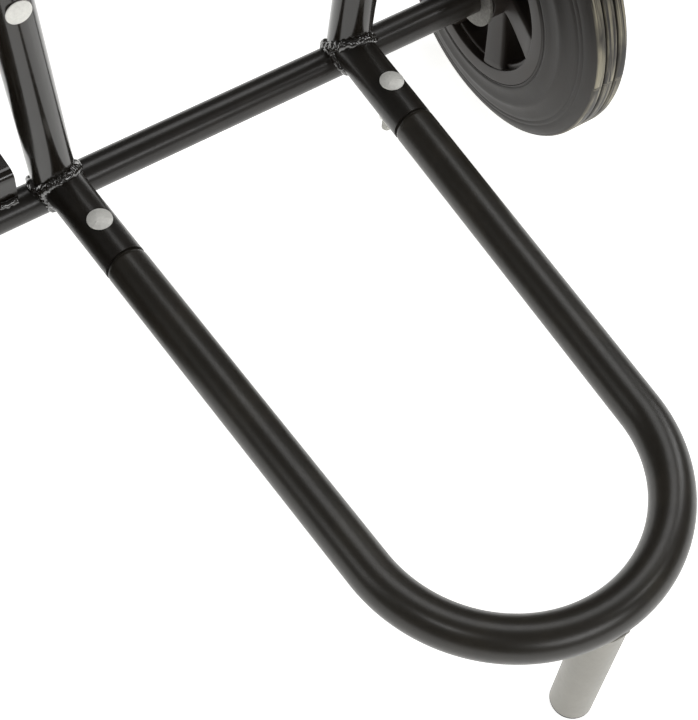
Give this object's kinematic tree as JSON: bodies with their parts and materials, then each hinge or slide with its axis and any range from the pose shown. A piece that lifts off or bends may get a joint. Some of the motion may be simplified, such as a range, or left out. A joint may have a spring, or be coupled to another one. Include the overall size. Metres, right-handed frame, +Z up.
{
  "type": "drum dolly",
  "caption": "Upright wheeled tubular drum dolly with a looped front toe on a short leg, plugged and bolted tube sockets, bowed cradle bars and a bent handle frame.",
  "frame": {"origin": "on the floor, at the middle of the width and of the front-to-back length", "axes": "+Z up; -Y towards the toe loop (front); +X along the axle, to the right as seen from behind the toe looking at the handle"},
  "size_m": [0.638, 0.602, 1.1148],
  "materials": {
    "axle_tube": "gloss black powder coat",
    "axle_rod": "zinc plated bar",
    "upright_socket_left": "gloss black powder coat",
    "upright_socket_right": "gloss black powder coat",
    "toe_socket_left": "gloss black powder coat",
    "toe_socket_right": "gloss black powder coat",
    "toe_loop": "satin black powder coat",
    "toe_leg": "satin pale grey powder coat",
    "leg_foot": "moulded black plug",
    "toe_bolts": "bright zinc plate",
    "toe_washers": "bright zinc plate",
    "toe_nuts": "bright zinc plate",
    "handle_frame": "gloss black powder coat",
    "lower_cradle_bar": "gloss black powder coat",
    "upper_cradle_bar": "gloss black powder coat",
    "upright_bolts": "bright zinc plate",
    "upright_washers": "bright zinc plate",
    "upright_nuts": "bright zinc plate",
    "handle_grip": "matt ribbed rubber",
    "foot_plate": "gloss black powder coat",
    "tyre_left": "solid rubber with pale scuffs on the tread",
    "tyre_right": "solid rubber with pale scuffs on the tread",
    "hub_left": "moulded black nylon",
    "hub_right": "moulded black nylon",
    "bush_left": "natural nylon bush",
    "bush_right": "natural nylon bush",
    "inner_washers": "zinc plate",
    "outer_washers": "zinc plate",
    "split_pins": "zinc plate"
  },
  "bodies": {
    "frame": {"axle_tube": "axle_tube", "axle_rod": "axle_rod", "upright_socket_left": "upright_socket_left", "upright_socket_right": "upright_socket_right", "toe_socket_left": "toe_socket_left", "toe_socket_right": "toe_socket_right", "toe_loop": "toe_loop", "toe_leg": "toe_leg", "leg_foot": "leg_foot", "toe_bolts": "toe_bolts", "toe_washers": "toe_washers", "toe_nuts": "toe_nuts", "handle_frame": "handle_frame", "lower_cradle_bar": "lower_cradle_bar", "upper_cradle_bar": "upper_cradle_bar", "upright_bolts": "upright_bolts", "upright_washers": "upright_washers", "upright_nuts": "upright_nuts", "handle_grip": "handle_grip", "foot_plate": "foot_plate", "inner_washers": "inner_washers", "outer_washers": "outer_washers", "split_pins": "split_pins"},
    "wheel_left": {"tyre_left": "tyre_left", "hub_left": "hub_left", "bush_left": "bush_left"},
    "wheel_right": {"tyre_right": "tyre_right", "hub_right": "hub_right", "bush_right": "bush_right"}
  },
  "joints": [
    {"name": "wheel_left_spin", "type": "hinge", "parent": "frame", "child": "wheel_left", "pos_m": [-0.2713, 0.17596, 0.125], "axis": [1, 0, 0], "continuous": true},
    {"name": "wheel_right_spin", "type": "hinge", "parent": "frame", "child": "wheel_right", "pos_m": [0.2713, 0.17596, 0.125], "axis": [1, 0, 0], "continuous": true}
  ]
}
